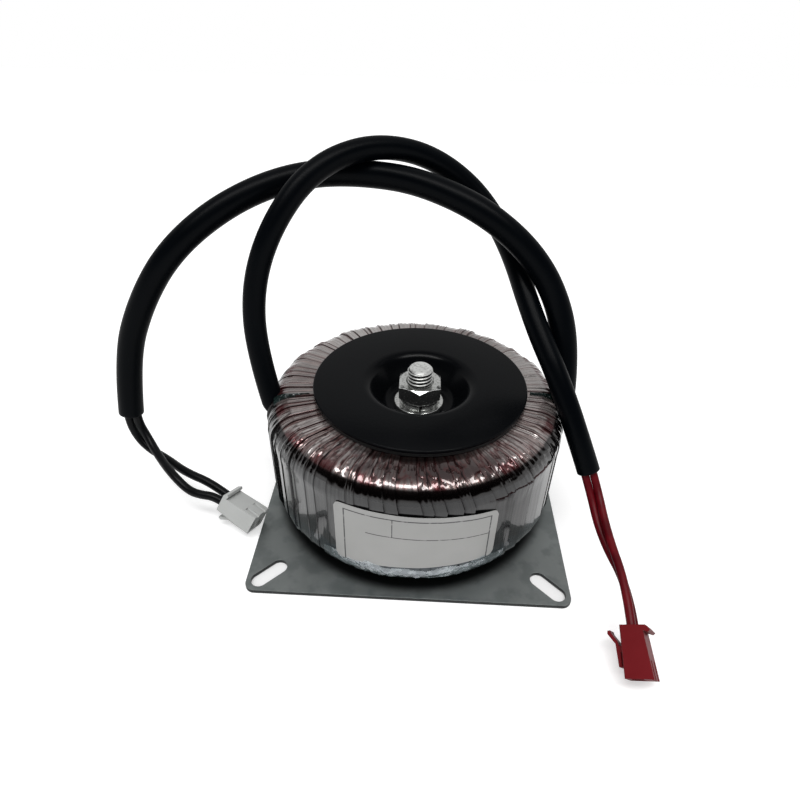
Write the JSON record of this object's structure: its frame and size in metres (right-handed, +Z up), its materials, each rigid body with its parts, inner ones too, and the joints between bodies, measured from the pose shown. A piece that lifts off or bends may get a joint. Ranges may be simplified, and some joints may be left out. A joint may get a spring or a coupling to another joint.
{
  "type": "toroidal transformer",
  "caption": "Toroidal transformer clamped to a slotted square plate by a dished disc and bolt, with sleeved lead pairs ending in locking connectors.",
  "frame": {"origin": "centre of the mounting plate's underside", "axes": "+Z up through the ring, along the clamping bolt; the label faces -Y; +X is to the right of the label"},
  "size_m": [0.1679, 0.1224, 0.11],
  "materials": {
    "plate": "galvanised, satin",
    "pad": "matte",
    "core_steel": "wound strip",
    "insulation": "thin film and board",
    "copper": "enamelled copper",
    "wrap": "shiny film over copper wire",
    "label": "matte",
    "disc": "black, satin",
    "fastener": "bright zinc",
    "sleeve": "soft sheen",
    "red_lead": "soft sheen",
    "black_lead": "soft sheen",
    "red_plastic": "moulded",
    "white_plastic": "moulded",
    "contact": "tinned"
  },
  "bodies": {
    "root": {"base_plate": "plate", "bottom_pad": "pad", "core": "core_steel", "core_cap_lower": "insulation", "core_cap_upper": "insulation", "primary_winding": "copper", "interwinding_film": "insulation", "secondary_winding": "copper", "outer_wrap": "wrap", "rating_label": "label", "top_pad": "pad", "top_disc": "disc", "flat_washer": "fastener", "spring_washer": "fastener", "hex_nut": "fastener", "clamp_bolt": "fastener", "primary_sleeve": "sleeve", "secondary_sleeve": "sleeve", "primary_tails": "copper", "secondary_tails": "copper", "primary_lead_a": "red_lead", "primary_lead_b": "red_lead", "secondary_lead_a": "black_lead", "secondary_lead_b": "black_lead", "red_housing": "red_plastic", "white_housing": "white_plastic", "red_terminals": "contact", "white_terminals": "contact"}
  },
  "joints": []
}
